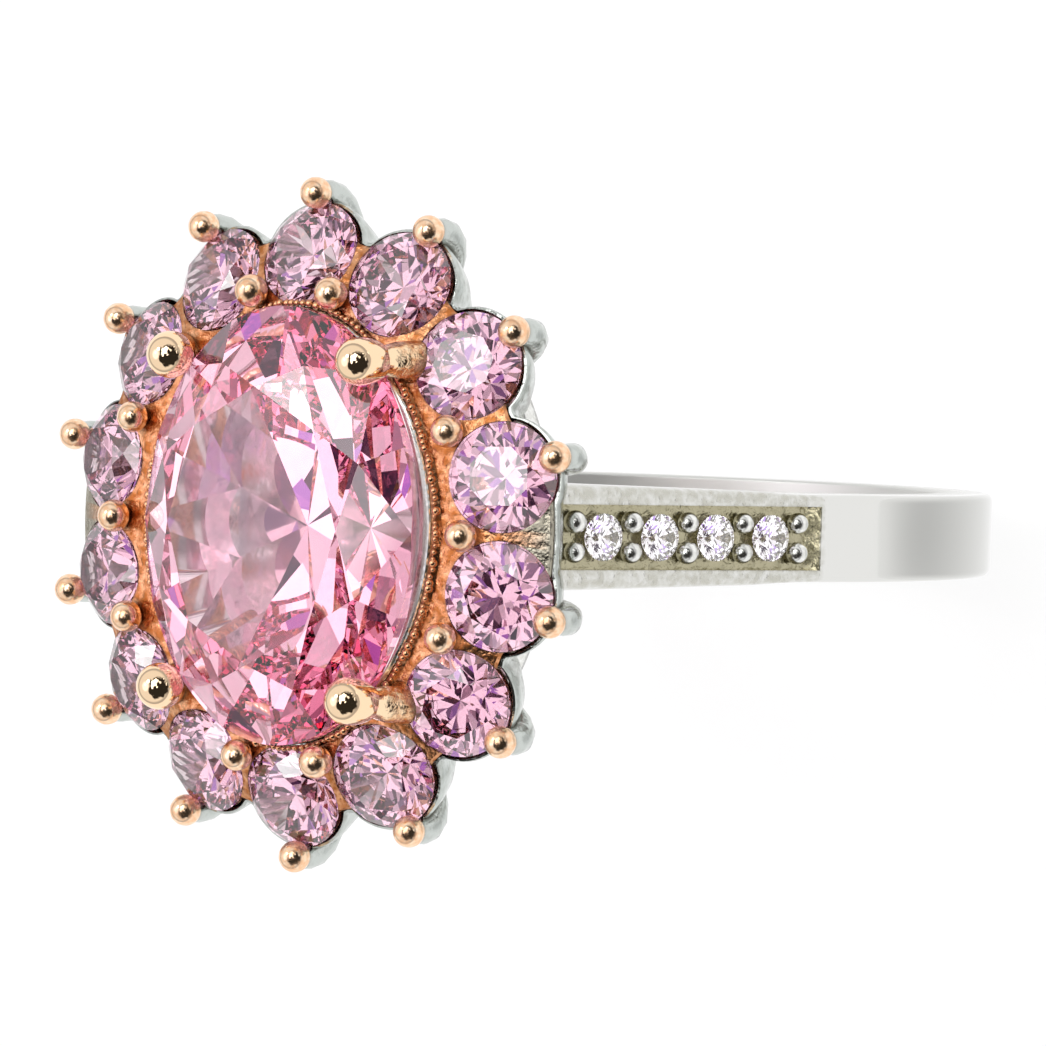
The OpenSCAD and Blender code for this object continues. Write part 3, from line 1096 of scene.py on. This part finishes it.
@dataclass
class Halo:
    """The halo: tray, scalloped wall, stones, claws and beads.

    Attributes:
        line: the oval that it follows.
        stone: radius of a halo stone.
        seat_a: half width of the tray's inner wall.
        seat_b: half length of the tray's inner wall.
        ball: radius of the balls on the outer claws.
        bead: radius of the inner beads.
        web: least reach of the plate over the shoulders.
        seat_gap: how far the inner wall stands off the stone at its sides.
        stations: sections through each scallop.
    """

    line: HaloLine
    stone: float = 1.495
    seat_a: float = 4.85
    seat_b: float = 6.03
    ball: float = 0.44
    bead: float = 0.45
    web: float = 1.3
    seat_gap: float = 0.2
    stations: int = 24

    def shares(self) -> list[float]:
        """Places round the halo, evenly spaced, with whole scallops."""
        n = self.line.count * self.stations
        return [k / n + 0.25 for k in range(n)]

    def inner_edge(self, share: float, more: float, z: float) -> np.ndarray:
        """A point on the tray's inner edge, which leaves the stone only along its sides.

        Args:
            share: how far round the halo.
            more: distance added outside the edge.
            z: height of the point.

        Returns:
            The point in millimetres.
        """
        narrow = self.seat_a - self.seat_gap
        point = self.line.wall(share, narrow, self.seat_b, z)
        side = abs(point[0]) / narrow
        point[0] *= 1 + (self.seat_gap * side**5 + more) / narrow
        point[1] *= 1 + more / (self.seat_b * 2)
        return point

    def tray(self) -> bpy.types.Mesh:
        """The rose plate that holds the stones.

        Returns:
            Its mesh, with the seats cut.
        """
        line = self.line
        points = []
        for share in self.shares():
            reach = line.scallop(share, self.stone - 0.05, 0.5, self.web)
            section = [
                self.inner_edge(share, 0.0, line.z - 0.05),
                line.point(share, reach - 0.1, -0.42),
                line.point(share, reach, -0.3),
                line.point(share, reach, -0.02),
                line.point(share, reach - 0.08, 0.06),
                line.point(share, -0.2, 0.1),
                line.point(share, -1.0, 0.12),
                self.inner_edge(share, 0.26, line.z + 0.5),
                self.inner_edge(share, 0.14, line.z + 0.62),
                self.inner_edge(share, 0.0, line.z + 0.6),
            ]
            points.extend(section)
        body = mesh_from("halo_tray", points, loop_faces(len(self.shares()), 10, True))
        profile = [(0.001, -1.2), (1.28, -1.2), (1.28, -0.21), (1.51, -0.21), (1.51, 1.2), (0.001, 1.2)]
        parts = []
        for i in range(1, line.count + 1):
            share = line.stone(i)
            turn = line.frame(share)
            centre = Vector(line.point(share, 0, 0))
            seat = []
            for k in range(64):
                spin = math.tau * k / 64
                for r, h in profile:
                    seat.append(centre + turn @ Vector((r * math.cos(spin), r * math.sin(spin), h)))
            parts.append((seat, loop_faces(64, len(profile), True)))
        cutter = mesh_from("seats", *joined(parts))
        return cut(facing_out(body), facing_out(cutter))

    def wall(self) -> bpy.types.Mesh:
        """The white scalloped cups behind the stones.

        Returns:
            Its mesh.
        """
        line = self.line
        points = []
        for share in self.shares():
            reach = line.scallop(share, self.stone + 0.12, 0.62, self.web + 0.1)
            low = 0.75 * reach
            points.extend(
                [
                    line.point(share, low, -1.7),
                    line.point(share, 0.93 * reach, -1.15),
                    line.point(share, reach, -0.6),
                    line.point(share, reach + 0.02, -0.12),
                    line.point(share, reach - 0.03, -0.05),
                    line.point(share, reach - 0.1, -0.05),
                    line.point(share, reach - 0.16, -0.12),
                    line.point(share, reach - 0.32, -0.6),
                    line.point(share, low - 0.4, -1.7),
                ]
            )
        return mesh_from("halo_wall", points, loop_faces(len(self.shares()), 9, True))

    def claws(self) -> tuple[list, list]:
        """The outer claws' shared outline, as tubes.

        Returns:
            Points and faces of the ball tips, and of the stems.
        """
        line = self.line
        tips, stems = [], []
        # the claws over the shoulders stand a little off the middle of their stones
        aside = {4: 0.005, 11: 0.005, 5: -0.005, 12: -0.005}
        for i in range(1, line.count + 1):
            share = line.stone(i) + aside.get(i, 0.0)
            tip = line.point(share, 1.6, 0.48)
            tips.append(tube(ball_end(line.point(share, 1.74, -0.5), tip, self.ball, rings=18), 40))
            course = [
                (line.point(share, 1.15, -1.75), 0.3),
                (line.point(share, 1.55, -1.3), 0.36),
                (line.point(share, 1.78, -0.85), 0.4),
                (line.point(share, 1.86, -0.4), 0.41),
                (line.point(share, 1.82, -0.05), 0.38),
                (line.point(share, 1.74, 0.2), 0.34),
                (line.point(share, 1.64, 0.38), 0.27),
            ]
            stems.append(tube(course, 20))
        return tips, stems

    def build(self, looks: Finishes, beads: BeadSetter) -> None:
        """Build and dress the halo.

        Args:
            looks: the finishes.
            beads: sets the small beads.
        """
        line = self.line
        tray = self.tray()
        co = points_of(tray)
        set_mark(tray, np.full(len(co), 1.0))
        # the rose plate stops short of the outer edge, most of all over the shoulders
        out = np.hypot(co[:, 0] / line.a, co[:, 1] / line.b) - 1
        aside = np.clip((1.3 - np.abs(co[:, 1])) / 0.4, 0, 1)
        set_mark(tray, np.clip((out * 7.2 - 0.75 + 0.6 * aside) / 0.4, 0, 1), "bare")
        sharpen(tray, 35)
        hand_in(finished("halo_tray", tray, looks.rose_cast, True), Slot.ROSE, "halo_tray")
        grain = dome("grain", 0.1, 10)
        count = 190
        wander = np.random.default_rng(5)
        places = []
        for k in range(count):
            share = (k + wander.uniform(-0.2, 0.2)) / count
            spot = self.inner_edge(share, 0.14 + wander.uniform(-0.03, 0.03), line.z + 0.6)
            places.append((spot, line.frame(share), 1.0))
        hand_in(beads.set("tray_milgrain", places, grain, looks.rose_cast, 0.35), Slot.ROSE, "halo_tray")
        wall = self.wall()
        set_mark(wall, np.full(len(wall.vertices), 0.6))
        sharpen(wall, 50)
        # the cups and claw stems take the rhodium plate painted darker as painted shade
        hand_in(finished("halo_wall", wall, looks.rhodium_cup_shaded, True), Slot.WHITE, "halo_wall")
        tips, stems = self.claws()
        tip_mesh = mesh_from("halo_claw_tips", *joined(tips))
        hand_in(finished("halo_claw_tips", tip_mesh, looks.rose, True), Slot.ROSE, "halo_claws")
        stem_mesh = mesh_from("halo_claw_stems", *joined(stems))
        set_mark(stem_mesh, np.full(len(stem_mesh.vertices), 0.5))
        sharpen(stem_mesh, 50)
        hand_in(finished("halo_claw_stems", stem_mesh, looks.rhodium_cup_shaded, True), Slot.WHITE, "halo_claws")
        bead = dome("inner_bead", self.bead, 40, 18)
        places = []
        for gap in (1, 3, 4, 5, 7, 8, 10, 11, 12, 14):
            share = line.stone(gap + 0.5)
            places.append((line.point(share, -1.15, 0.44), line.frame(share), 1.0))
        hand_in(beads.set("inner_beads", places, bead, looks.rose, 0.03), Slot.ROSE, "inner_beads")
        for i in range(1, line.count + 1):
            share = line.stone(i)
            # the stones are set at odd turns, as they come to hand
            spin = Matrix.Rotation(math.radians(37.0 * i), 4, "Z")
            place = Matrix.Translation(line.point(share, 0, 0)) @ line.frame(share).to_4x4() @ spin
            name = f"halo_stone_{i:02d}"
            stone = Brilliant(arc=3).cut(name, place, (self.stone, self.stone, self.stone))
            hand_in(finished(name, stone, looks.mauve, False), Slot.MAUVE, name)


@dataclass
class Centre:
    """The centre stone with its seat, claws, cup and gallery rail.

    Attributes:
        line: the halo's oval, which the claws stand in line with.
        girdle: height of the stone's girdle.
        half_width: half width of the stone.
        half_length: half length of the stone.
        cup_top: height of the rim of the cup that the claws stand in.
        seat_gap: how far the seat stands off the stone at its sides.
        band_radius: outer radius of the band that the cup stands on.
    """

    line: HaloLine
    girdle: float = 16.6
    half_width: float = 4.6
    half_length: float = 6.0
    cup_top: float = 11.6
    seat_gap: float = 0.2
    band_radius: float = 10.83

    def claw(self, share: float) -> tuple[list, list]:
        """One main claw.

        Args:
            share: how far round the halo it stands.

        Returns:
            Points and faces.
        """
        own = HaloLine(a=self.half_width, b=self.half_length)
        t = own.turn(share)
        edge = np.array([self.half_width * math.cos(t), self.half_length * math.sin(t), 0.0])
        tip = edge + own.outward(share) * 0.2 + UP * (self.girdle + 1.0)
        knee = tip + np.array([math.copysign(0.78, tip[0]), math.copysign(0.1, tip[1]), -1.4])
        lean = np.array([knee[0], knee[1], 0.0])
        lean /= np.linalg.norm(lean)
        foot = lean * 2.1 + UP * (self.cup_top - 0.3)
        course = [(foot, 0.36), (foot + (knee - foot) * 0.5, 0.42), (foot + (knee - foot) * 0.9, 0.52)]
        course += [(knee, 0.54), (knee + (tip - knee) * 0.3, 0.5)]
        return tube(course + ball_end(knee, tip, 0.65, 1.5, 28), 64)

    def band(self, name: str, section: list[tuple[float, float, float, float]]) -> bpy.types.Mesh:
        """An oval band with one section all round.

        Args:
            name: the mesh's name.
            section: half axis across and along the finger, height, and how much wider the
                band gets at its sides, for each corner of the section.

        Returns:
            Its mesh.
        """
        count = 192
        points = []
        for turn in (math.tau * k / count for k in range(count)):
            for a, b, z, more in section:
                wide = a + more * abs(math.cos(turn)) ** 5
                points.append((wide * math.cos(turn), b * math.sin(turn), z))
        return mesh_from(name, points, loop_faces(count, len(section), True))

    def cup(self) -> bpy.types.Mesh:
        """The cup that the main claws stand in, sunk a little into the band.

        Returns:
            Its mesh.
        """
        count = 96
        points = []
        for turn in (math.tau * k / count for k in range(count)):
            for radius, top in ((0.88, False), (1.48, False), (2.45, True), (1.85, True)):
                x, y = radius * math.cos(turn), radius * math.sin(turn)
                z = self.cup_top if top else math.sqrt(self.band_radius**2 - x * x) - 0.03
                points.append((x, y, z))
        return mesh_from("basket_cup", points, loop_faces(count, 4, True))

    def build(self, looks: Finishes) -> None:
        """Build and dress the centre of the head.

        Args:
            looks: the finishes.
        """
        place = Matrix.Translation((0, 0, self.girdle))
        oval = Brilliant(table=0.63, crown=1.13, girdle=0.4, pavilion=4.2, star=0.5, lower=0.42, arc=8)
        stone = oval.cut("centre_stone", place, (self.half_width, self.half_length, 1.0))
        hand_in(finished("centre_stone", stone, looks.pink, False), Slot.PINK, "centre_stone")
        claws = [self.claw(self.line.stone(gap + 0.5)) for gap in (2, 6, 9, 13)]
        mesh = mesh_from("main_claws", *joined(claws))
        height = points_of(mesh)[:, 2] - self.girdle
        set_mark(mesh, np.clip((0.45 - height) / 0.3, 0, 1))
        sharpen(mesh, 50)
        hand_in(finished("main_claws", mesh, looks.rose_claw, True), Slot.ROSE, "main_claws")
        # the white seat is widest beside the stone and closes up towards its ends
        seat = self.band(
            "centre_seat",
            [
                (4.4, 5.7, 15.5, 0),
                (4.64, 6.0, 15.5, self.seat_gap),
                (4.64, 6.0, 16.26, self.seat_gap),
                (4.61, 5.98, 16.3, self.seat_gap),
                (4.58, 5.95, 16.34, 0),
                (4.54, 5.91, 16.34, 0),
                (4.4, 5.7, 15.95, 0),
            ],
        )
        rail = self.band(
            "gallery_rail",
            [
                (6.2, 6.76, 13.25, 0),
                (6.75, 7.31, 13.25, 0),
                (6.85, 7.41, 13.35, 0),
                (6.85, 7.41, 13.85, 0),
                (6.75, 7.31, 13.95, 0),
                (6.2, 6.76, 13.95, 0),
                (6.1, 6.66, 13.85, 0),
                (6.1, 6.66, 13.35, 0),
            ],
        )
        for name, mesh, angle in (
            ("centre_seat", seat, 30),
            ("gallery_rail", rail, 60),
            ("basket_cup", self.cup(), 30),
        ):
            sharpen(mesh, angle)
            hand_in(finished(name, mesh, looks.rhodium, True), Slot.WHITE, name)


# ---------------------------------------------------------------- studio


@dataclass
class Studio:
    """Pale floor, soft studio surround and the camera.

    Attributes:
        azimuth: degrees that the view leans from straight down towards +X.
        rise: degrees that it leans towards +Y.
        roll: turn of the camera about its own axis.
        distance: from the centre stone's girdle to the camera, in millimetres.
        lens: focal length on a 36 mm sensor.
        slide: sideways and upward shift of the camera, in millimetres.
        target_z: height of the point that the distance is measured from.
        floor_z: height of the floor.
        flag_radius: radius of the disc of painted shadow on the floor.
    """

    azimuth: float = 35.446
    rise: float = 1.889
    roll: float = 1.922
    distance: float = 157.7
    lens: float = 198.8
    slide: tuple[float, float] = (6.637, 0.071)
    target_z: float = 16.621
    floor_z: float = -10.83
    flag_radius: float = 14.0

    def toward_camera(self) -> np.ndarray:
        """The unit direction from the ring to the camera."""
        a, e = math.radians(self.azimuth), math.radians(self.rise)
        return np.array([math.sin(a) * math.cos(e), math.sin(e), math.cos(a) * math.cos(e)])

    def flash(self) -> np.ndarray:
        """The direction whose light one star facet of the centre stone throws at the camera."""
        facet = np.array([0.123, 0.227, 1.0])
        facet /= np.linalg.norm(facet)
        view = self.toward_camera()
        return 2 * facet.dot(view) * facet - view

    def camera(self) -> None:
        """Set up the camera."""
        back = self.toward_camera()
        up = np.array([0.0, 1.0, 0.0])
        up -= back * back.dot(up)
        up /= np.linalg.norm(up)
        right = np.cross(up, back)
        roll = math.radians(self.roll)
        right, up = (
            right * math.cos(roll) + up * math.sin(roll),
            -right * math.sin(roll) + up * math.cos(roll),
        )
        place = UP * self.target_z + back * self.distance + right * self.slide[0] + up * self.slide[1]
        lens = bpy.data.cameras.new("camera")
        lens.lens = self.lens
        lens.sensor_width = 36.0
        lens.clip_start = 0.005
        lens.clip_end = 10.0
        holder = bpy.data.objects.new("camera", lens)
        turn = Matrix((right, up, back)).transposed().to_4x4()
        holder.matrix_world = Matrix.Translation(Vector(place * MM)) @ turn
        bpy.context.scene.collection.objects.link(holder)
        bpy.context.scene.camera = holder

    def floor(self) -> None:
        """Lay the pale floor."""
        material, tree = new_material("Studio floor, white card")
        place = add_node(tree, "ShaderNodeTexCoord").outputs["Object"]
        fibre = add_node(tree, "ShaderNodeTexNoise", {"Vector": place, "Scale": 2000.0})
        tones = {"Value": fibre.outputs["Fac"], "To Min": 0.2, "To Max": 0.22}
        card = add_node(
            tree, "ShaderNodeBsdfDiffuse", {"Color": add_node(tree, "ShaderNodeMapRange", tones)}
        )
        glow = add_node(tree, "ShaderNodeEmission", {"Color": (1, 1, 1, 1), "Strength": 0.86})
        mix = add_node(tree, "ShaderNodeAddShader", {0: card, 1: glow})
        add_node(tree, "ShaderNodeOutputMaterial", {"Surface": mix})
        size = 3.0
        level = self.floor_z * MM
        corners = [(x * size, y * size, level) for x, y in ((-1, -1), (1, -1), (1, 1), (-1, 1))]
        mesh = bpy.data.meshes.new("floor")
        mesh.from_pydata(corners, [], [(0, 1, 2, 3)])
        finished("floor", mesh, material, False)

    def flag(self) -> None:
        """Lay a disc of painted shadow on the floor, darkest in its middle, that only the polished metal
        mirrors, to shade the side of the band.
        """
        material, tree = new_material("Studio flag, grey card")
        place = add_node(tree, "ShaderNodeTexCoord").outputs["Object"]
        middle = np.array([20.0, 0.0, self.floor_z + 0.1])
        away = add_node(
            tree, "ShaderNodeVectorMath", {0: place, 1: tuple(middle * MM)}, operation="DISTANCE"
        ).outputs["Value"]
        reach = self.flag_radius * MM
        # painted shadow: the disc is darkest at its middle and white at its rim
        fade = {"Value": away, "From Min": 0.0, "From Max": reach, "To Min": 0.68, "To Max": 1.02}
        tone = add_node(tree, "ShaderNodeMapRange", fade, interpolation_type="SMOOTHSTEP")
        card = add_node(tree, "ShaderNodeEmission", {"Color": (1, 1, 1, 1), "Strength": tone})
        add_node(tree, "ShaderNodeOutputMaterial", {"Surface": card})
        rim = [
            middle + np.array([math.cos(turn), math.sin(turn), 0.0]) * self.flag_radius
            for turn in (math.tau * k / 48 for k in range(48))
        ]
        flag = finished("flag", mesh_from("flag", rim, [tuple(range(48))]), material, False)
        flag.visible_camera = flag.visible_diffuse = flag.visible_shadow = False

    def surround(self) -> None:
        """Light the ring from a white surround with dark and coloured gaps."""
        world = bpy.data.worlds.new("studio")
        world.use_nodes = True
        tree = world.node_tree
        tree.nodes.clear()
        look = add_node(tree, "ShaderNodeTexCoord").outputs["Generated"]

        # the things round the ring aren't round, so their outlines wander
        drift = add_node(tree, "ShaderNodeTexNoise", {"Vector": look, "Scale": 2.6, "Detail": 1.0})
        drift = add_node(
            tree, "ShaderNodeVectorMath", {0: drift.outputs["Color"], 1: (0.5,) * 3}, operation="SUBTRACT"
        )
        loose = add_node(
            tree, "ShaderNodeVectorMath", {0: drift, 1: (0.7,) * 3, 2: look}, operation="MULTIPLY_ADD"
        )

        def patch(
            direction: np.ndarray, inner: float, outer: float, strict: bool = True
        ) -> bpy.types.Node:
            """How much of a patch, round if it is strict, lies in the direction looked at."""
            unit = tuple(direction / np.linalg.norm(direction))
            ray = look if strict else loose
            dot = add_node(tree, "ShaderNodeVectorMath", {0: ray, 1: unit}, operation="DOT_PRODUCT")
            near, far = (math.cos(math.radians(angle)) for angle in (inner, outer))
            edge = {"Value": dot.outputs["Value"], "From Min": far, "From Max": near}
            return add_node(tree, "ShaderNodeMapRange", edge, interpolation_type="SMOOTHSTEP")

        def paint(below: object, colour: tuple, amount: object) -> bpy.types.NodeSocket:
            """Lay a colour over another by an amount."""
            return add_node(
                tree, "ShaderNodeMix", {"Factor": amount, "A": below, "B": colour}, data_type="RGBA"
            ).outputs["Result"]

        # what the metal and the facets' faces mirror: a light tent over a grey belt
        view = self.toward_camera()
        height = add_node(tree, "ShaderNodeSeparateXYZ", {0: look}).outputs["Z"]
        belt = add_node(
            tree,
            "ShaderNodeMapRange",
            {"Value": height, "From Min": 0.3, "From Max": 0.12},
            interpolation_type="SMOOTHSTEP",
        )
        plain = paint((0.98, 0.98, 0.98, 1), (0.52, 0.52, 0.54, 1), belt)
        plain = paint(plain, (6.0, 6.0, 6.0, 1), patch(self.flash(), 7, 8))
        # the dark camera and whoever holds it, seen in the beads but not in a second bounce
        path = add_node(tree, "ShaderNodeLightPath")
        depth = path.outputs["Ray Depth"]
        first = add_node(tree, "ShaderNodeMath", {0: depth, 1: 2.5}, operation="LESS_THAN")
        shade = patch(view + np.array([-0.1, -0.1, 0.0]), 46, 56, False)
        shade = add_node(tree, "ShaderNodeMath", {0: shade, 1: first}, operation="MULTIPLY")
        plain = paint(plain, (0.03, 0.028, 0.025, 1), shade)
        for direction, colour, inner, outer, strict in (
            (view + np.array([-0.35, 0.3, 0.2]), (3.0, 3.0, 3.0, 1), 7, 11, False),
            (view + np.array([0.3, 0.6, -0.2]), (1.6, 1.6, 1.6, 1), 5, 9, False),
            (np.array([-0.58, -0.03, 0.81]), (1.7, 1.55, 1.7, 1), 14, 22, True),
            (np.array([-0.58, 0.09, 0.81]), (2.4, 2.2, 2.35, 1), 6, 7.2, True),
        ):
            plain = paint(plain, colour, patch(direction, inner, outer, strict))

        # what is seen through the stones: cells of light, dark and colour
        cells = add_node(tree, "ShaderNodeTexVoronoi", {"Vector": look, "Scale": 3.4})
        chance = add_node(tree, "ShaderNodeSeparateColor", {0: cells.outputs["Color"]}).outputs["Red"]
        ramp = add_node(tree, "ShaderNodeValToRGB", {"Fac": chance})
        ramp.color_ramp.interpolation = "CONSTANT"
        stops = ramp.color_ramp.elements
        stops[0].color = (0.05, 0.03, 0.06, 1)
        stops[1].position, stops[1].color = 0.15, (0.5, 0.38, 0.45, 1)
        for position, colour in (
            (0.32, (1.05, 1.0, 1.04, 1)),
            (0.66, (1.9, 1.85, 1.9, 1)),
            (0.96, (0.6, 0.35, 1.0, 1)),
        ):
            stops.new(position).color = colour
        seen = ramp.outputs["Color"]
        for direction, colour, inner, outer in (
            (view, (0.26, 0.19, 0.32, 1), 9, 14),
            ((-0.3, 0.1, 0.95), (1.7, 1.7, 1.7, 1), 12, 18),
            ((-0.75, -0.35, 0.55), (1.5, 0.85, 0.6, 1), 2, 4),
            ((0.35, -0.6, 0.7), (1.6, 1.2, 0.8, 1), 1, 3),
        ):
            seen = paint(seen, colour, patch(np.array(direction), inner, outer))
        shown = paint(plain, (1, 1, 1, 1), path.outputs["Is Camera Ray"])
        shown = paint(shown, seen, path.outputs["Is Transmission Ray"])
        sky = add_node(tree, "ShaderNodeBackground", {"Color": shown, "Strength": 1.0})
        add_node(tree, "ShaderNodeOutputWorld", {"Surface": sky})
        bpy.context.scene.world = world

    def build(self) -> None:
        """Build the studio."""
        self.camera()
        self.floor()
        self.flag()
        self.surround()
        scene = bpy.context.scene
        scene.view_settings.view_transform = "Standard"
        scene.cycles.max_bounces = 32
        scene.cycles.transmission_bounces = 30
        scene.cycles.glossy_bounces = 24


def main() -> None:
    """Build the ring and its studio."""
    logging.basicConfig(level=logging.INFO, format="%(name)s %(message)s")
    looks = Finishes()
    beads = BeadSetter()
    line = HaloLine()
    Shank().build(looks, beads)
    Halo(line).build(looks, beads)
    Centre(line).build(looks)
    Studio().build()


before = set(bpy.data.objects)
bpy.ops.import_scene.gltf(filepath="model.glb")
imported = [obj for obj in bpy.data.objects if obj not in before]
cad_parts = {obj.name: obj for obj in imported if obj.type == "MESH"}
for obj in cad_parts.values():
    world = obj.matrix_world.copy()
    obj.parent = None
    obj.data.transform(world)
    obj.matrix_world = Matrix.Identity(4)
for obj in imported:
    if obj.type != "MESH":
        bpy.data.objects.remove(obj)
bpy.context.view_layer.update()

if __name__ == "__main__":
    main()
